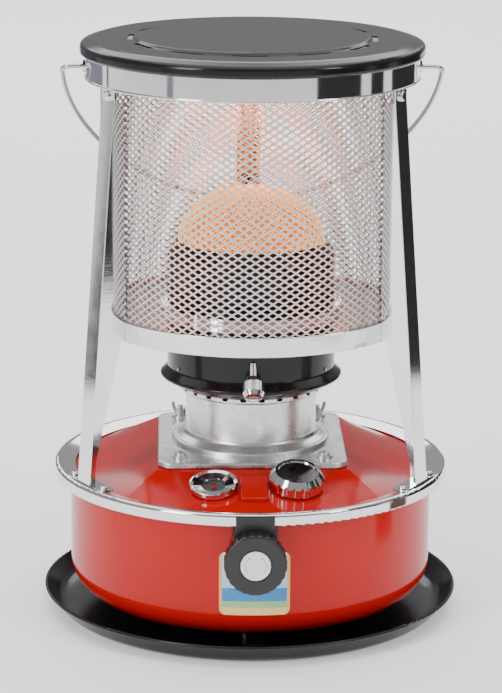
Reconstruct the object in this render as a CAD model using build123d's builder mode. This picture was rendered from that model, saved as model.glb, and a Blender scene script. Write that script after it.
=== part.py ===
from build123d import *

import os
from math import asin, atan2, cos, degrees, radians, sin, sqrt

# A round wick-burning kerosene heater, in millimetres. Z is up from the floor under the drip tray,
# the wick knob faces -Y, and the Z axis is the axis of the burner.

# ---- driving dimensions ----
sheet = 1.0  # thickness of the pressed sheet steel
gap = 0.4  # air between pieces that move apart

tray_radius = 162.5
tray_height = 17.0
tank_radius = 141.3
tank_floor = 13.0  # underside of the tank
tank_corner = 26.0  # radius where the tank's wall turns under
seam_height = 109.6  # where the two halves of the tank meet
seam_radius = 146.0
roof_low = 112.0  # foot of the tank's roof
roof_high = 128.6  # flat top of the tank's roof
roof_radius = 139.0
roof_half_x = 73.5
roof_half_y = 75.5

ring_radius = 153.6
ring_low = 107.0
ring_high = 117.1

leg_angles = {"leg_left": 210, "leg_right": 330, "leg_rear": 90}
leg_width = 19.0
leg_sheet = 1.2
leg_foot_radius = 149.0  # outer face of a leg where it stands on the base ring
leg_top_radius = 125.9  # outer face of a leg behind the collar
leg_knee = 411.0  # where the slanting leg turns upright
leg_top = 431.0

guard_radius = 116.2
guard_low = 227.0
guard_high = 421.4
band_radius = 117.8
band_high = 242.0
pan_height = 238.0

collar_radius = 127.4
collar_low = 418.6
collar_high = 444.9
lid_top = 449.8
lid_radius = 131.7
lid_disc_radius = 88.5
slot_radius = 93.5

pivot_height = 426.5
wire = 3.6  # diameter of the bail's wire
bail_half = 145.0
bail_depth = 190.0
bail_side_radius = 220.7
bail_end_radius = 112.0
bail_lean = 47.0  # degrees from straight down, towards the back

plate_x = 145.0
plate_y = 149.0
plate_low = 129.4
plate_top = 133.4
bolt_x = 55.0
bolt_y = 58.0
gallery_radius = 51.0
gallery_top = 182.0
rim_radius = 55.0

draft_radius = 40.2
chamber_radius = 53.3
wick_inner = 40.6
wick_outer = 44.9
wick_top = 188.0

drum_radius = 65.2
drum_shoulder = 283.0
drum_top = 291.5
dome_radius = 57.3
dome_height = 42.5
lip_radius = 70.6
lip_height = 187.0
flame_tube_low = gallery_top + gap
flame_tube_high = 285.0

knob_height = 82.7
knob_radius = 23.4
knob_front = -169.0
knob_back = -157.0
shaft_radius = 3.0
pinion_teeth = 12
tooth_module = 1.0
pinion_y = -50.2  # front face of the pinion

filler_x, filler_y = 32.2, -98.0
gauge_x, gauge_y = -30.0, -100.5
float_pivot_height = 72.0
float_arm_length = 54.5

os.makedirs("parts", exist_ok=True)


# ---- shared construction ----
def section(*points):
    """Closed outline of a turned piece, from (radius, height) points."""
    with BuildSketch(Plane.XZ) as outline:
        with BuildLine():
            Polyline(*points, close=True)
        make_face()
    return outline.sketch


def pressed(points, radii, thickness=sheet):
    """Half-section of a pressed or spun sheet: its rounded middle line given a thickness."""
    with BuildSketch(Plane.XZ) as outline:
        with BuildLine():
            FilletPolyline(*points, radius=radii)
        trace(line_width=thickness)
    return outline.sketch


def tube(outer, inner, low, high):
    """Half-section of a straight upright tube."""
    return section((inner, low), (outer, low), (outer, high), (inner, high))


def radial_plane(angle):
    """Upright plane through the Z axis, its x pointing out along the given angle."""
    a = radians(angle)
    return Plane(origin=(0, 0, 0), x_dir=(cos(a), sin(a), 0), z_dir=(sin(a), -cos(a), 0))


def polar(radius, angle, height=0.0):
    """Point at a radius, an angle and a height."""
    return Vector(radius * cos(radians(angle)), radius * sin(radians(angle)), height)


def roof_plane(x, y):
    """Plane lying on the front facet of the tank's roof above (x, y).

    The facet is ruled from the flat top's front edge to the front arc of the roof's foot,
    so the ruling through (x, y) is found by halving the interval of its parameter.
    """
    low, high = 0.0, 1.0
    for _ in range(40):
        t = (low + high) / 2
        edge = Vector((2 * t - 1) * roof_half_x, -roof_half_y, roof_high)
        foot = polar(roof_radius, leg_angles["leg_left"] + 120 * t, roof_low)
        s = (y - edge.Y) / (foot.Y - edge.Y)
        if edge.X + s * (foot.X - edge.X) < x:
            low = t
        else:
            high = t
    across = Vector(2 * roof_half_x, 0, 0) * (1 - s)
    across += polar(roof_radius * radians(120), leg_angles["leg_left"] + 120 * t + 90) * s
    normal = across.cross(edge - foot).normalized()
    return Plane(origin=edge + (foot - edge) * s, x_dir=across.normalized(), z_dir=normal)


def roof(half_x, half_y, radius, low, high):
    """Solid from a round foot to a flat rectangular top, creased where the legs stand."""
    with BuildPart() as body:
        with BuildSketch(Plane.XY.offset(low)):
            with BuildLine():
                for start, span in ((210, 120), (330, 60), (30, 120), (150, 60)):
                    CenterArc((0, 0), radius, start, span)
            make_face()
        with BuildSketch(Plane.XY.offset(high)):
            with BuildLine():
                corners = [(-half_x, -half_y), (half_x, -half_y), (half_x, half_y), (-half_x, half_y)]
                Polyline(*corners, close=True)
            make_face()
        loft(ruled=True)
    return body.part


filler_plane = roof_plane(filler_x, filler_y)
gauge_plane = roof_plane(gauge_x, gauge_y)
pad_plane = roof_plane(0, -106)
knob_axis = Plane(origin=(0, 0, knob_height), x_dir=(1, 0, 0), z_dir=(0, -1, 0))


# ---- drip tray: black enamelled dish with a rolled rim and three raised seats for the tank's feet ----
foot_circle = 84.0
foot_angles = (30, 150, 270)
seat_height = 5.0

with BuildPart() as drip_tray:
    rim_bead = 1.3
    revolve(pressed([(0, sheet / 2), (149, sheet / 2), (160.4, 15.6)], 12), axis=Axis.Z)
    with BuildSketch(Plane.XZ):
        with Locations((tray_radius - rim_bead, tray_height - rim_bead)):
            Circle(rim_bead)
    revolve(axis=Axis.Z)
    with PolarLocations(foot_circle, len(foot_angles), start_angle=foot_angles[0]):
        Cylinder(16, seat_height, align=(Align.CENTER, Align.CENTER, Align.MIN))
    with PolarLocations(foot_circle, len(foot_angles), start_angle=foot_angles[0]):
        hollow = (Align.CENTER, Align.CENTER, Align.MIN)
        Cylinder(15, seat_height - sheet, align=hollow, mode=Mode.SUBTRACT)
        Cylinder(2.1, seat_height, align=hollow, mode=Mode.SUBTRACT)
drip_tray.part.label = "drip_tray"
export_step(drip_tray.part, "parts/drip_tray.step")

with BuildPart() as tank_feet:
    with BuildSketch(Plane.XY.offset(seat_height)):
        with PolarLocations(foot_circle, len(foot_angles), start_angle=foot_angles[0]):
            Circle(13)
            Circle(2.1, mode=Mode.SUBTRACT)
    extrude(amount=tank_floor - seat_height)
    chamfer(tank_feet.faces().sort_by(Axis.Z)[0:3].edges().filter_by(lambda e: e.length > 30), 1.5)
tank_feet.part.label = "tank_feet"
export_step(tank_feet.part, "parts/tank_feet.step")

with BuildPart() as tray_screws:
    with BuildSketch(Plane.XY.offset(seat_height - sheet)):
        with PolarLocations(foot_circle, len(foot_angles), start_angle=foot_angles[0]):
            Circle(5)
    extrude(amount=-2.4)
    with BuildSketch(Plane.XY.offset(seat_height - sheet)):
        with PolarLocations(foot_circle, len(foot_angles), start_angle=foot_angles[0]):
            Circle(2.0)
    extrude(amount=7)
tray_screws.part.label = "tray_screws"
export_step(tray_screws.part, "parts/tray_screws.step")


# ---- fuel tank: a drawn lower shell and a pressed roof, seamed together under the base ring ----
tube_radius = 5.0  # outside of the sealed tube that carries the wick shaft through the tank

with BuildPart() as tank_lower_shell:
    wall = tank_radius - sheet / 2
    floor = tank_floor + sheet / 2
    lip = seam_height - sheet / 2
    outline = [(draft_radius, floor), (wall, floor), (wall, lip), (seam_radius, lip)]
    revolve(pressed(outline, [tank_corner, 1.5]), axis=Axis.Z)
    with BuildSketch(knob_axis.offset(120)):
        Circle(tube_radius)
    extrude(amount=30, mode=Mode.SUBTRACT)
tank_lower_shell.part.label = "tank_lower_shell"
export_step(tank_lower_shell.part, "parts/tank_lower_shell.step")

neck_radius = 16.0
gauge_hole = 12.0
with BuildPart() as tank_top_shell:
    add(roof(roof_half_x, roof_half_y, roof_radius, roof_low, roof_high))
    with BuildSketch(pad_plane.offset(-3)):
        RectangleRounded(20, 32, 2.5)
    extrude(amount=7)
    pad_rim = tank_top_shell.faces().filter_by(lambda f: f.normal_at().Z > 0.9).sort_by(Axis.Z)[-2]
    fillet(pad_rim.edges(), 1.2)
    with BuildSketch(Plane.XY.offset(roof_low)):
        Circle(roof_radius)
    extrude(amount=seam_height - roof_low)
    with BuildSketch(Plane.XY.offset(seam_height)):
        Circle(seam_radius)
    extrude(amount=sheet)
    inside = roof(roof_half_x - 0.6, roof_half_y - 0.6, roof_radius - 1.6, roof_low, roof_high - sheet)
    add(inside, mode=Mode.SUBTRACT)
    with BuildSketch(Plane.XY.offset(seam_height)):
        Circle(roof_radius - 1.6)
    extrude(amount=roof_low - seam_height, mode=Mode.SUBTRACT)
    with BuildSketch(Plane.XY.offset(roof_low)):
        Circle(chamber_radius)
    extrude(amount=roof_high, mode=Mode.SUBTRACT)
    with BuildSketch(Plane.XY.offset(roof_low)):
        with GridLocations(2 * bolt_x, 2 * bolt_y, 2, 2):
            Circle(2.3)
    extrude(amount=roof_high, mode=Mode.SUBTRACT)
    with BuildSketch(filler_plane.offset(-10)):
        Circle(neck_radius)
    extrude(amount=20, mode=Mode.SUBTRACT)
    with BuildSketch(gauge_plane.offset(-10)):
        Circle(gauge_hole)
    extrude(amount=20, mode=Mode.SUBTRACT)
tank_top_shell.part.label = "tank_top_shell"
export_step(tank_top_shell.part, "parts/tank_top_shell.step")

with BuildPart() as draft_tube:
    revolve(tube(draft_radius, draft_radius - sheet, tank_floor - 0.4, gallery_top), axis=Axis.Z)
draft_tube.part.label = "draft_tube"
export_step(draft_tube.part, "parts/draft_tube.step")

with BuildPart() as wick_chamber_tube:
    revolve(tube(chamber_radius, chamber_radius - sheet, tank_floor + 10, roof_high), axis=Axis.Z)
    with BuildSketch(knob_axis.offset(chamber_radius - 8)):
        Circle(tube_radius)
    extrude(amount=16, mode=Mode.SUBTRACT)
wick_chamber_tube.part.label = "wick_chamber_tube"
export_step(wick_chamber_tube.part, "parts/wick_chamber_tube.step")


# ---- base ring: chromed steel ring over the seam, which carries the three legs ----
ring_screw_radius = 145.5
ring_screw_angles = [angle + side * 9 for angle in leg_angles.values() for side in (-1, 1)]

with BuildPart() as base_ring:
    skirt = ring_radius - sheet / 2
    outline = [
        (skirt - 3.5, ring_low + sheet / 2),
        (skirt, ring_low + sheet / 2),
        (skirt, ring_high - sheet / 2),
        (149.0, ring_high - sheet / 2),
        (137.6, 113.6),
    ]
    revolve(pressed(outline, [1.4, 2.2, 3.0]), axis=Axis.Z)
    with BuildSketch(Plane.XY.offset(roof_low)):
        for angle in ring_screw_angles:
            with Locations(polar(ring_screw_radius, angle)):
                Circle(1.7)
    extrude(amount=8, mode=Mode.SUBTRACT)
base_ring.part.label = "base_ring"
export_step(base_ring.part, "parts/base_ring.step")

foot_low = ring_high + 0.05
foot_high = foot_low + leg_sheet
with BuildPart() as base_ring_screws:
    for angle in ring_screw_angles:
        with BuildSketch(Plane.XY.offset(foot_high)):
            with Locations(polar(ring_screw_radius, angle)):
                Circle(3.4)
        extrude(amount=2.4)
        with BuildSketch(Plane.XY.offset(foot_high)):
            with Locations(polar(ring_screw_radius, angle)):
                Circle(1.6)
        extrude(amount=-7)
    tops = base_ring_screws.faces().filter_by(Axis.Z).group_by(Axis.Z)[-1]
    fillet(tops.edges(), 1.2)
base_ring_screws.part.label = "base_ring_screws"
export_step(base_ring_screws.part, "parts/base_ring_screws.step")


# ---- legs: three tapered steel channels, web outwards, leaning in to the collar ----
leg_slope = (leg_foot_radius - leg_top_radius) / (leg_knee - foot_low)


def leg_face(height):
    """Distance of a leg's outer face from the axis at a height."""
    return leg_top_radius + leg_slope * max(leg_knee - height, 0)


leg_screw_height = 414.0
with BuildPart() as guard_top_ring:
    cap_low = guard_high + 0.3
    skirt_radius = leg_top_radius - leg_sheet - 0.2
    band = guard_radius - sheet - 0.2
    outline = [
        (band - sheet / 2, guard_high - 3),
        (band - sheet / 2, cap_low + sheet / 2),
        (skirt_radius - sheet / 2, cap_low + sheet / 2),
        (skirt_radius - sheet / 2, leg_knee + 1.4),
    ]
    revolve(pressed(outline, 0.8), axis=Axis.Z)
    with BuildSketch(Plane.XY.offset(leg_knee)):
        Circle(leg_top_radius)
        Circle(guard_radius, mode=Mode.SUBTRACT)
        with PolarLocations(leg_top_radius, 3, start_angle=leg_angles["leg_rear"]):
            Rectangle(20, leg_width + 1, mode=Mode.SUBTRACT)
    extrude(amount=collar_low + 1 - leg_knee, mode=Mode.SUBTRACT)
    for angle in leg_angles.values():
        with BuildSketch(Plane(origin=polar(100, angle, leg_screw_height), z_dir=polar(1, angle))):
            Circle(2.1)
        extrude(amount=30, mode=Mode.SUBTRACT)
guard_top_ring.part.label = "guard_top_ring"
export_step(guard_top_ring.part, "parts/guard_top_ring.step")

for name, angle in leg_angles.items():
    with BuildPart() as leg:
        radial = radial_plane(angle)
        middle = leg_sheet / 2
        with BuildSketch(radial):
            with BuildLine():
                FilletPolyline(
                    (leg_foot_radius - middle, foot_low),
                    (leg_top_radius - middle, leg_knee),
                    (leg_top_radius - middle, leg_top),
                    radius=30.0,
                )
            trace(line_width=leg_sheet)
        extrude(amount=leg_width / 2, both=True)
        for side in (-1, 1):
            with BuildSketch(radial.offset(side * leg_width / 2)):
                with BuildLine():
                    Polyline(
                        (leg_foot_radius - middle, foot_low),
                        (leg_top_radius - middle, leg_knee - 2),
                        (guard_radius + 0.4, leg_knee - 2),
                        (guard_radius + 0.4, band_high + 2),
                        (band_radius - 0.25, band_high + 1),
                        (band_radius - 0.25, guard_low + 1),
                        (band_radius + 3.7, guard_low - 2),
                        (143.4, 134.5),
                        (144.0, foot_low),
                        close=True,
                    )
                make_face()
            extrude(amount=-side * leg_sheet)
        with BuildSketch(Plane.XY.offset(foot_low)):
            with Locations(Location(polar(leg_foot_radius - 6, angle), angle)):
                RectangleRounded(12, 56, 4)
        extrude(amount=leg_sheet)
        with BuildSketch(Plane.XY.offset(foot_low)):
            for side in (-1, 1):
                with Locations(polar(ring_screw_radius, angle + side * 9)):
                    Circle(1.7)
        extrude(amount=leg_sheet, mode=Mode.SUBTRACT)
        with BuildSketch(Plane(origin=polar(100, angle, leg_screw_height), z_dir=radial.x_dir)):
            Circle(2.1)
        extrude(amount=30, mode=Mode.SUBTRACT)
        corners = leg.edges().filter_by(lambda e: e.length > 250)
        outer = [e for e in corners if radial.to_local_coords(e.center()).X > leg_face(265) - 0.1]
        fillet(outer, 0.6)
    leg.part.label = name
    export_step(leg.part, f"parts/{name}.step")

with BuildPart() as leg_top_screws:
    for angle in leg_angles.values():
        out = polar(1, angle)
        face = Plane(origin=polar(leg_top_radius + 0.1, angle, leg_screw_height), z_dir=out)
        with BuildSketch(face):
            Circle(3.9)
        extrude(amount=2.4)
        with BuildSketch(face):
            Circle(2.0)
        extrude(amount=-6)
    rims = leg_top_screws.edges().filter_by(GeomType.CIRCLE).filter_by(lambda e: e.radius > 3)
    caps = [e for e in rims if sqrt(e.center().X ** 2 + e.center().Y ** 2) > leg_top_radius + 1]
    fillet(caps, 1.3)
leg_top_screws.part.label = "leg_top_screws"
export_step(leg_top_screws.part, "parts/leg_top_screws.step")


# ---- guard: expanded-metal panels between the legs, held by a band, a pan and the top ring ----
panel_starts = {"guard_mesh_front": 210, "guard_mesh_right": 330, "guard_mesh_left": 90}
panel_gap = 0.4  # degrees between neighbouring panels
for name, start in panel_starts.items():
    with BuildPart() as panel:
        with BuildSketch(radial_plane(start + panel_gap / 2)):
            with Locations((guard_radius - sheet / 2, (guard_low + guard_high) / 2)):
                Rectangle(sheet, guard_high - guard_low)
        revolve(axis=Axis.Z, revolution_arc=120 - panel_gap)
    panel.part.label = name
    export_step(panel.part, f"parts/{name}.step")

with BuildPart() as guard_bottom_ring:
    band_sheet = band_radius - guard_radius - 0.2
    with BuildSketch(Plane.XZ):
        with Locations((band_radius - band_sheet / 2, (guard_low + band_high) / 2)):
            RectangleRounded(band_sheet, band_high - guard_low, 0.6)
    revolve(axis=Axis.Z)
guard_bottom_ring.part.label = "guard_bottom_ring"
export_step(guard_bottom_ring.part, "parts/guard_bottom_ring.step")

pan_hole = 70.0
with BuildPart() as guard_pan:
    outer_lip = guard_radius - sheet - 0.2 - sheet / 2
    outline = [
        (outer_lip, guard_low + 2),
        (outer_lip, pan_height + sheet / 2),
        (pan_hole + sheet / 2, pan_height + sheet / 2),
        (pan_hole + sheet / 2, pan_height + 6),
    ]
    revolve(pressed(outline, [2.5, 1.6]), axis=Axis.Z)
guard_pan.part.label = "guard_pan"
export_step(guard_pan.part, "parts/guard_pan.step")


# ---- collar, lid and bail handle ----
eyelet_radius = 3.0
with BuildPart() as top_collar:
    revolve(tube(collar_radius, collar_radius - sheet, collar_low + 0.5, collar_high), axis=Axis.Z)
    with BuildSketch(Plane.XZ):
        with Locations((collar_radius - 0.1, collar_low + 1)):
            Circle(1.0)
    revolve(axis=Axis.Z)
    with BuildSketch(Plane.YZ.offset(-150)):
        with Locations((0, pivot_height)):
            Circle(eyelet_radius)
    extrude(amount=300, mode=Mode.SUBTRACT)
top_collar.part.label = "top_collar"
export_step(top_collar.part, "parts/top_collar.step")

with BuildPart() as bail_eyelets:
    for side in (-1, 1):
        inner_end = Plane(origin=(side * 124.9, 0, pivot_height), z_dir=(side, 0, 0))
        with BuildSketch(inner_end):
            Circle(eyelet_radius)
            Circle(wire / 2 + 0.08, mode=Mode.SUBTRACT)
        extrude(amount=4.2)
        with BuildSketch(inner_end.offset(collar_radius + 0.1 - 124.9)):
            Circle(4.8)
            Circle(wire / 2 + 0.08, mode=Mode.SUBTRACT)
        extrude(amount=1.6)
bail_eyelets.part.label = "bail_eyelets"
export_step(bail_eyelets.part, "parts/bail_eyelets.step")

bend = 6.0  # radius where the wire turns from the pivot into the loop
lean = radians(bail_lean)
bail_plane = Plane(
    origin=(0, 0, pivot_height),
    x_dir=(1, 0, 0),
    z_dir=(0, -cos(lean), -sin(lean)),
)
end_centre = bail_depth - bail_end_radius
end_sweep = degrees(atan2(bail_side_radius - bail_half, end_centre))
stop = degrees(asin(bend / (bail_side_radius - bend)))
with BuildPart() as bail_handle:
    with BuildLine(bail_plane) as route:
        bottom = JernArc((0, -bail_depth), (1, 0), bail_end_radius, end_sweep)
        flank = JernArc(bottom @ 1, bottom % 1, bail_side_radius, 90 - end_sweep - stop)
        elbow = JernArc(flank @ 1, flank % 1, bend, 90 + stop)
        stub = Line(elbow @ 1, (122.8, (bail_plane.to_local_coords(elbow @ 1)).Y))
        mirror(about=Plane.YZ)
    wire_path = Wire(route.edges().sort_by(Axis.X))
    with BuildSketch(Plane(origin=wire_path @ 0, z_dir=wire_path % 0)):
        Circle(wire / 2)
    sweep(path=wire_path)
    for side in (-1, 1):
        with BuildSketch(Plane(origin=(side * 124.3, 0, pivot_height), z_dir=(-side, 0, 0))):
            Circle(2.9)
        extrude(amount=1.5)
bail_handle.part.label = "bail_handle"
export_step(bail_handle.part, "parts/bail_handle.step")

with BuildPart() as lid:
    mid = lid_top - 0.6
    side_mid = lid_radius - 0.6
    outline = [
        (0, mid),
        (lid_disc_radius, mid),
        (lid_disc_radius + 2, mid - 1.6),
        (121.5, mid - 1.6),
        (side_mid, mid - 4.4),
        (side_mid, 438.6),
        (side_mid - 1.8, 437.0),
    ]
    revolve(pressed(outline, [1.2, 1.2, 14.0, 3.4, 1.2], 1.2), axis=Axis.Z)
    with BuildSketch(Plane.XY.offset(lid_top - 8)):
        with PolarLocations(0, 12, start_angle=20):
            SlotArc(arc=CenterArc((0, 0), slot_radius, 0, 15), height=4.2)
    extrude(amount=12, mode=Mode.SUBTRACT)
lid.part.label = "lid"
export_step(lid.part, "parts/lid.step")


# ---- burner base: plate, gasket, gallery and fasteners on top of the tank ----
with BuildPart() as base_gasket:
    with BuildSketch(Plane.XY.offset(roof_high)):
        RectangleRounded(plate_x - 3, plate_y - 3, 10)
        Circle(chamber_radius + 0.4, mode=Mode.SUBTRACT)
        with GridLocations(2 * bolt_x, 2 * bolt_y, 2, 2):
            Circle(2.4, mode=Mode.SUBTRACT)
    extrude(amount=plate_low - roof_high)
base_gasket.part.label = "base_gasket"
export_step(base_gasket.part, "parts/base_gasket.step")

with BuildPart() as base_plate:
    with BuildSketch(Plane.XY.offset(plate_low)):
        RectangleRounded(plate_x, plate_y, 12)
    extrude(amount=plate_top - plate_low)
    fillet(base_plate.faces().sort_by(Axis.Z)[-1].edges(), 1.4)
    with BuildSketch(Plane.XY.offset(plate_top)):
        with GridLocations(2 * bolt_x, 2 * bolt_y, 2, 2):
            Circle(6.8)
    extrude(amount=2, taper=12)
    with BuildSketch(Plane.XY.offset(plate_low)):
        Circle(50)
        with GridLocations(2 * bolt_x, 2 * bolt_y, 2, 2):
            Circle(2.3)
    extrude(amount=12, mode=Mode.SUBTRACT)
base_plate.part.label = "base_plate"
export_step(base_plate.part, "parts/base_plate.step")

boss_top = plate_top + 2
with BuildPart() as base_plate_screws:
    with BuildSketch(Plane.XY.offset(boss_top)):
        with Locations((-bolt_x, -bolt_y), (bolt_x, -bolt_y)):
            Circle(4.4)
    extrude(amount=2.6)
    fillet(base_plate_screws.faces().sort_by(Axis.Z)[-2:].edges(), 1.2)
    with BuildSketch(Plane.XY.offset(boss_top + 3)):
        with Locations((-bolt_x, -bolt_y), (bolt_x, -bolt_y)):
            Rectangle(1.0, 6.2)
    extrude(amount=-1.6, mode=Mode.SUBTRACT)
    with BuildSketch(Plane.XY.offset(boss_top)):
        with Locations((-bolt_x, -bolt_y), (bolt_x, -bolt_y)):
            Circle(2.1)
    extrude(amount=-12)
base_plate_screws.part.label = "base_plate_screws"
export_step(base_plate_screws.part, "parts/base_plate_screws.step")

with BuildPart() as base_plate_studs:
    with BuildSketch(Plane.XY.offset(roof_high - 5)):
        with Locations((-bolt_x, bolt_y), (bolt_x, bolt_y)):
            Circle(2.1)
    extrude(amount=boss_top + 8 - roof_high + 5)
base_plate_studs.part.label = "base_plate_studs"
export_step(base_plate_studs.part, "parts/base_plate_studs.step")

with BuildPart() as wing_nuts:
    for side in (-1, 1):
        with BuildSketch(Plane.XY.offset(boss_top)):
            with Locations((side * bolt_x, bolt_y)):
                Circle(4.4)
        extrude(amount=5, taper=8)
        with BuildSketch(Plane.XZ.offset(-bolt_y)):
            with Locations((side * bolt_x, boss_top)):
                for wing in (-1, 1):
                    outline = [(2.4, 1), (4.4, 1.5), (7.2, 8.6), (6.6, 10.8)]
                    outline += [(4.8, 10.4), (3.4, 5), (2.4, 5)]
                    Polygon(*[(wing * x, z) for x, z in outline], align=None)
        extrude(amount=1.1, both=True)
        with BuildSketch(Plane.XY.offset(boss_top)):
            with Locations((side * bolt_x, bolt_y)):
                Circle(2.15)
        extrude(amount=12, mode=Mode.SUBTRACT)
wing_nuts.part.label = "wing_nuts"
export_step(wing_nuts.part, "parts/wing_nuts.step")

with BuildPart() as wick_gallery:
    outer = gallery_radius - sheet / 2
    inner = wick_outer + 0.5 + sheet / 2
    top = gallery_top - sheet / 2
    outline = [
        (inner, plate_top + 6),
        (inner, top),
        (rim_radius - sheet / 2, top),
        (rim_radius - sheet / 2, 174.6),
        (outer, 173.4),
        (outer, plate_top + 7),
        (57.0, plate_top + 3.2),
        (61.0, plate_top + 3.2),
        (61.0, plate_top),
    ]
    revolve(pressed(outline, [0.8, 1.0, 1.0, 1.0, 5.0, 2.0, 0.9]), axis=Axis.Z)
    with BuildSketch(Plane.XZ.offset(48)):
        with Locations((0, 177)):
            RectangleRounded(4.6, 2.6, 0.6)
    slot = extrude(amount=12, mode=Mode.PRIVATE)
    for turn in range(24):
        add(slot.rotate(Axis.Z, turn * 15 + 7.5), mode=Mode.SUBTRACT)
wick_gallery.part.label = "wick_gallery"
export_step(wick_gallery.part, "parts/wick_gallery.step")


# ---- wick, its carrier with the rack, and the shaft that raises it ----
with BuildPart() as wick:
    revolve(tube(wick_outer, wick_inner, 58, wick_top), axis=Axis.Z)
wick.part.label = "wick"
export_step(wick.part, "parts/wick.step")

pitch_radius = tooth_module * pinion_teeth / 2
rack_pitch = tooth_module * 3.14159265
with BuildPart() as wick_carrier:
    revolve(tube(wick_outer + 1.3, wick_outer, 64, 104), axis=Axis.Z)
    with BuildSketch(Plane.XZ.offset(43)):
        with Locations((-9.7, 90.5)):
            Rectangle(4.6, 27)
    extrude(amount=6.9)
    with BuildSketch(Plane.XZ.offset(46.6)):
        for tooth in range(-2, 6):
            with Locations((-pitch_radius, knob_height + (tooth + 0.5) * rack_pitch)):
                Polygon((-1.5, -1.1), (0.85, -0.3), (0.85, 0.3), (-1.5, 1.1), align=None)
    extrude(amount=3.3)
    revolve(tube(wick_outer, 10, 60, 110), axis=Axis.Z, mode=Mode.SUBTRACT)
wick_carrier.part.label = "wick_carrier"
export_step(wick_carrier.part, "parts/wick_carrier.step")

with BuildPart() as wick_pinion:
    with BuildSketch(knob_axis.offset(-pinion_y - 3.0)):
        Circle(pitch_radius - 1.25 * tooth_module)
        with PolarLocations(0, pinion_teeth):
            Polygon((4.3, -1.15), (6.85, -0.32), (6.85, 0.32), (4.3, 1.15), align=None)
        Circle(shaft_radius, mode=Mode.SUBTRACT)
    extrude(amount=3.0)
wick_pinion.part.label = "wick_pinion"
export_step(wick_pinion.part, "parts/wick_pinion.step")

with BuildPart() as wick_shaft:
    with BuildSketch(knob_axis.offset(47.2)):
        Circle(shaft_radius)
    extrude(amount=-knob_front - 4 - 47.2)
wick_shaft.part.label = "wick_shaft"
export_step(wick_shaft.part, "parts/wick_shaft.step")

tube_front = 158.6
with BuildPart() as shaft_tube:
    with BuildSketch(knob_axis.offset(chamber_radius - 0.6)):
        Circle(tube_radius)
        Circle(tube_radius - 1.2, mode=Mode.SUBTRACT)
    extrude(amount=tube_front - chamber_radius + 0.6)
shaft_tube.part.label = "shaft_tube"
export_step(shaft_tube.part, "parts/shaft_tube.step")

with BuildPart() as shaft_bushes:
    for start in (56.0, 146.0):
        with BuildSketch(knob_axis.offset(start)):
            Circle(tube_radius - 1.2)
            Circle(shaft_radius + 0.06, mode=Mode.SUBTRACT)
        extrude(amount=9)
shaft_bushes.part.label = "shaft_bushes"
export_step(shaft_bushes.part, "parts/shaft_bushes.step")

housing_front = 155.6
housing_half = 16.5  # half the width of the housing behind the knob
housing_top = 116.5
with BuildPart() as adjuster_housing:
    with BuildSketch(Plane.XZ.offset(138)):
        with BuildLine():
            flank = [(housing_half, knob_height), (housing_half, 102), (14.5, 107), (14.5, housing_top)]
            Polyline(*flank, *[(-x, z) for x, z in reversed(flank)])
            CenterArc((0, knob_height), housing_half, 180, 180)
        make_face()
    extrude(amount=housing_front - 138)
    fillet(adjuster_housing.faces().sort_by(Axis.Y)[0].edges(), 0.9)
    revolve(tube(tank_radius + gap / 2, 100, 50, 120), axis=Axis.Z, mode=Mode.SUBTRACT)
    revolve(tube(ring_radius + gap, 100, ring_low - 1, 120), axis=Axis.Z, mode=Mode.SUBTRACT)
    with BuildSketch(Plane.XZ.offset(138)):
        with Locations((0, 93)):
            RectangleRounded(29, 20, 3)
        with Locations((0, knob_height)):
            Circle(14.8)
    extrude(amount=housing_front - 138 - 1.6, mode=Mode.SUBTRACT)
    with BuildSketch(knob_axis.offset(130)):
        Circle(tube_radius)
    extrude(amount=40, mode=Mode.SUBTRACT)
adjuster_housing.part.label = "adjuster_housing"
export_step(adjuster_housing.part, "parts/adjuster_housing.step")

with BuildPart() as housing_nut:
    with BuildSketch(knob_axis.offset(housing_front)):
        RegularPolygon(8.2, 6)
        Circle(tube_radius, mode=Mode.SUBTRACT)
    extrude(amount=2.8)
housing_nut.part.label = "housing_nut"
export_step(housing_nut.part, "parts/housing_nut.step")

with BuildPart() as wick_knob:
    with BuildSketch(knob_axis.offset(-knob_back)):
        Circle(knob_radius)
    extrude(amount=knob_back - knob_front)
    fillet(wick_knob.faces().sort_by(Axis.Y)[0].edges(), 2.2)
    with BuildSketch(knob_axis.offset(-knob_back - 1)):
        with PolarLocations(knob_radius + 1.3, 24):
            Circle(2.1)
    extrude(amount=16, mode=Mode.SUBTRACT)
    with BuildSketch(knob_axis.offset(-knob_back)):
        Circle(10.5)
    extrude(amount=4, mode=Mode.SUBTRACT)
    with BuildSketch(knob_axis.offset(-knob_back)):
        Circle(shaft_radius)
    extrude(amount=8, mode=Mode.SUBTRACT)
    with BuildSketch(knob_axis.offset(-knob_front)):
        Circle(12.4)
        Circle(11.3, mode=Mode.SUBTRACT)
    extrude(amount=-0.8, mode=Mode.SUBTRACT)
wick_knob.part.label = "wick_knob"
export_step(wick_knob.part, "parts/wick_knob.step")

with BuildPart() as knob_cap:
    with BuildSketch(knob_axis.offset(-knob_front)):
        Circle(11.2)
    extrude(amount=1.6)
    fillet(knob_cap.faces().sort_by(Axis.Y)[0].edges(), 1.1)
knob_cap.part.label = "knob_cap"
export_step(knob_cap.part, "parts/knob_cap.step")

with BuildPart() as label_plate:
    revolve(tube(tank_radius + 0.75, tank_radius + 0.15, 20, 100), axis=Axis.Z)
    with BuildSketch(Plane.XZ.offset(100)):
        with Locations((0, 59.5)):
            RectangleRounded(53, 49, 5)
    extrude(amount=60, mode=Mode.INTERSECT)
    with BuildSketch(Plane.XZ.offset(100)):
        with Locations((0, knob_height)):
            Circle(housing_half + gap)
        with Locations((0, knob_height + 20)):
            Rectangle(2 * (housing_half + gap), 40)
    extrude(amount=60, mode=Mode.SUBTRACT)
label_plate.part.label = "label_plate"
export_step(label_plate.part, "parts/label_plate.step")


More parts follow.
